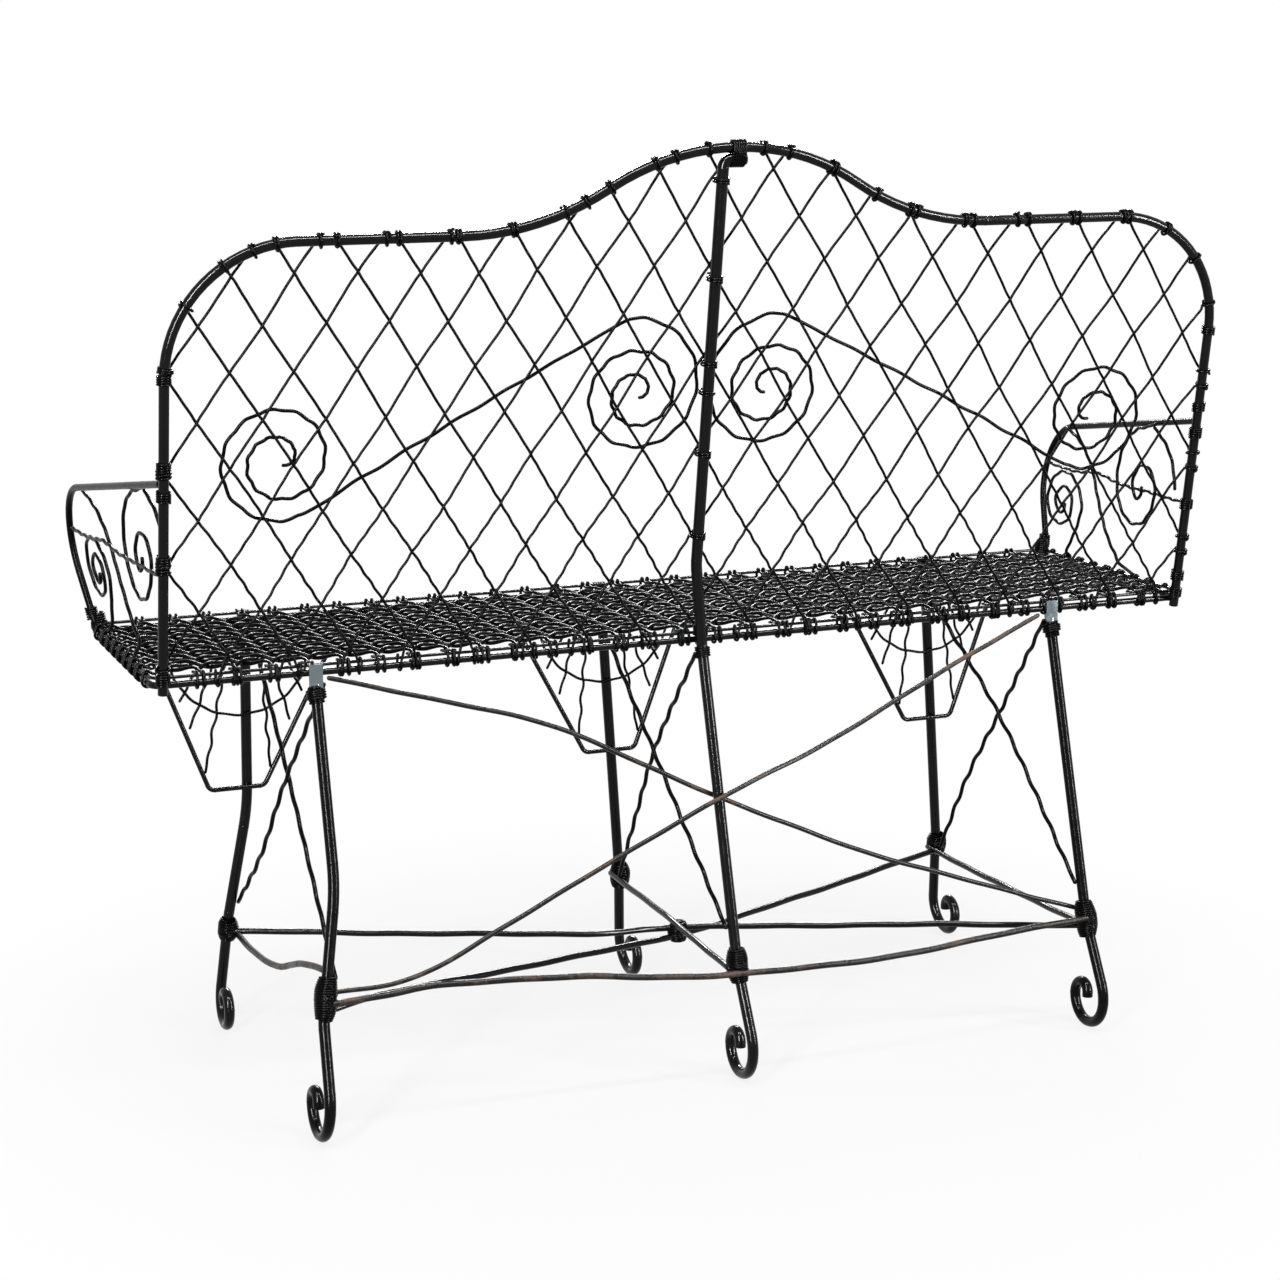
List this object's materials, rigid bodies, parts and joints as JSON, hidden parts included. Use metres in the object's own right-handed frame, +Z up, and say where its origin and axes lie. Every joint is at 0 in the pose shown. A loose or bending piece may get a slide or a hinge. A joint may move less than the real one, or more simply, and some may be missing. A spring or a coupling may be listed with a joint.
{
  "type": "wrought iron bench",
  "caption": "Slender wrought iron garden bench with a woven wire seat, a wire lattice back with spirals under a humped hoop, scrolled arms and scroll feet",
  "frame": {"origin": "centre of the footprint's bounding box, on the floor plane", "axes": "+X to the bench's own left as seen by someone sitting on it, -Y to the front, +Y to the back, +Z up"},
  "size_m": [1.1342, 0.4242, 0.9281],
  "materials": {
    "black_rod": "glossy black lacquer with worn edges",
    "crimped_wire": "semi gloss black",
    "lashing_wire": "satin black",
    "rusted_rod": "thin black over light brown rust"
  },
  "bodies": {
    "root": {"back_hoop": "black_rod", "centre_post_and_leg": "black_rod", "rear_leg_left": "black_rod", "rear_leg_right": "black_rod", "front_leg_left": "black_rod", "front_leg_centre": "black_rod", "front_leg_right": "black_rod", "seat_rail": "black_rod", "seat_edge_rod": "black_rod", "seat_weave_left": "crimped_wire", "seat_weave_right": "crimped_wire", "seat_strands_long": "crimped_wire", "seat_strands_end": "crimped_wire", "seat_wraps_front": "lashing_wire", "seat_wraps_rear": "lashing_wire", "seat_wraps_ends": "lashing_wire", "back_lattice_left": "crimped_wire", "back_lattice_right": "crimped_wire", "lattice_rings_hoop": "lashing_wire", "lattice_rings_post": "lashing_wire", "lattice_rings_rail": "lashing_wire", "back_scroll_left": "crimped_wire", "back_scroll_right": "crimped_wire", "arm_rail_left": "black_rod", "arm_rail_right": "black_rod", "arm_front_scroll_left": "crimped_wire", "arm_front_scroll_right": "crimped_wire", "arm_rear_scroll_left": "crimped_wire", "arm_rear_scroll_right": "crimped_wire", "arm_brace_left": "crimped_wire", "arm_brace_right": "crimped_wire", "arm_strand_left": "crimped_wire", "arm_strand_right": "crimped_wire", "long_tie_front_left": "black_rod", "long_tie_rear_left": "black_rod", "cross_tie_left": "rusted_rod", "cross_tie_centre": "black_rod", "cross_tie_right": "black_rod", "rear_stretcher": "rusted_rod", "rear_brace_left": "rusted_rod", "rear_brace_right": "rusted_rod", "leg_stays_left": "crimped_wire", "leg_stays_centre": "crimped_wire", "leg_stays_right": "crimped_wire", "bracket_left": "black_rod", "bracket_centre": "black_rod", "bracket_right": "black_rod", "bracket_wires_left": "crimped_wire", "bracket_wires_centre": "crimped_wire", "bracket_wires_right": "crimped_wire", "post_lashings": "lashing_wire", "crest_lashing": "lashing_wire", "knee_lashings": "lashing_wire", "leg_top_lashings": "lashing_wire", "cross_lashings": "lashing_wire"}
  },
  "joints": []
}
